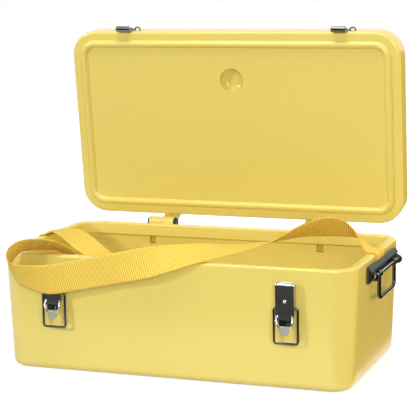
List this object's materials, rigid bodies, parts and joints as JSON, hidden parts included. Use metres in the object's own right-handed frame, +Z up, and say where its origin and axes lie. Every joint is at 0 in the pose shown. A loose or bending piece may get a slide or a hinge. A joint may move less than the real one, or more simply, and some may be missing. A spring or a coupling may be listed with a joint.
{
  "type": "transport toolbox",
  "caption": "Moulded yellow transport box with a hinged lid standing open, toggle latches, drop handles and a webbing shoulder strap.",
  "frame": {"origin": "centre of the box's flat bottom face", "axes": "+X to the right seen from the latches, +Y to the hinges, +Z up"},
  "size_m": [0.6362, 0.4364, 0.55],
  "materials": {
    "yellow_polyethylene": "moulded, semi-gloss",
    "zinc_plated_steel": "plated, bright",
    "dark_steel": "dark plated",
    "black_plastic": "matt",
    "yellow_webbing": "woven twill"
  },
  "bodies": {
    "box": {"box_shell": "yellow_polyethylene", "shoulder_strap": "yellow_webbing", "hinge_pin_left": "zinc_plated_steel", "hinge_cap_inner_left": "black_plastic", "hinge_cap_outer_left": "black_plastic", "latch_base_left": "zinc_plated_steel", "latch_pin_left": "zinc_plated_steel", "latch_rivet_upper_left": "zinc_plated_steel", "latch_rivet_lower_left": "zinc_plated_steel", "handle_plate_left": "dark_steel", "handle_rod_left": "zinc_plated_steel", "handle_rivet_1_left": "zinc_plated_steel", "handle_rivet_2_left": "zinc_plated_steel", "handle_rivet_3_left": "zinc_plated_steel", "handle_rivet_4_left": "zinc_plated_steel", "handle_rivet_5_left": "zinc_plated_steel", "hinge_pin_right": "zinc_plated_steel", "hinge_cap_inner_right": "black_plastic", "hinge_cap_outer_right": "black_plastic", "latch_base_right": "zinc_plated_steel", "latch_pin_right": "zinc_plated_steel", "latch_rivet_upper_right": "zinc_plated_steel", "latch_rivet_lower_right": "zinc_plated_steel", "handle_plate_right": "dark_steel", "handle_rod_right": "zinc_plated_steel", "handle_rivet_1_right": "zinc_plated_steel", "handle_rivet_2_right": "zinc_plated_steel", "handle_rivet_3_right": "zinc_plated_steel", "handle_rivet_4_right": "zinc_plated_steel", "handle_rivet_5_right": "zinc_plated_steel"},
    "lid": {"lid_shell": "yellow_polyethylene", "striker_left": "zinc_plated_steel", "striker_eye_left": "dark_steel", "striker_rivet_a_left": "zinc_plated_steel", "striker_rivet_b_left": "zinc_plated_steel", "striker_right": "zinc_plated_steel", "striker_eye_right": "dark_steel", "striker_rivet_a_right": "zinc_plated_steel", "striker_rivet_b_right": "zinc_plated_steel"},
    "lever_left": {"latch_lever_left": "zinc_plated_steel"},
    "bail_left": {"latch_bail_left": "dark_steel"},
    "grip_left": {"handle_bail_left": "dark_steel"},
    "lever_right": {"latch_lever_right": "zinc_plated_steel"},
    "bail_right": {"latch_bail_right": "dark_steel"},
    "grip_right": {"handle_bail_right": "dark_steel"}
  },
  "joints": [
    {"name": "lid_hinge", "type": "hinge", "parent": "box", "child": "lid", "pos_m": [0, 0.18125, 0.1945], "axis": [-1, 0, 0], "range_deg": [-83.3, 0], "deforming": ["shoulder_strap"]},
    {"name": "latch_lever_left", "type": "hinge", "parent": "box", "child": "lever_left", "pos_m": [-0.1963, -0.17364, 0.16767], "axis": [-1, 0, 0], "range_deg": [0, 100]},
    {"name": "latch_bail_left", "type": "hinge", "parent": "lever_left", "child": "bail_left", "pos_m": [-0.1963, -0.17204, 0.13371], "axis": [1, 0, 0], "range_deg": [-180, 0]},
    {"name": "handle_left", "type": "hinge", "parent": "box", "child": "grip_left", "pos_m": [-0.3109, 0.011, 0.16801], "axis": [0, 1, 0], "range_deg": [0, 90]},
    {"name": "latch_lever_right", "type": "hinge", "parent": "box", "child": "lever_right", "pos_m": [0.1963, -0.17364, 0.16767], "axis": [-1, 0, 0], "range_deg": [0, 100]},
    {"name": "latch_bail_right", "type": "hinge", "parent": "lever_right", "child": "bail_right", "pos_m": [0.1963, -0.17204, 0.13371], "axis": [1, 0, 0], "range_deg": [-180, 0]},
    {"name": "handle_right", "type": "hinge", "parent": "box", "child": "grip_right", "pos_m": [0.3109, 0.011, 0.16801], "axis": [0, -1, 0], "range_deg": [0, 90]}
  ]
}
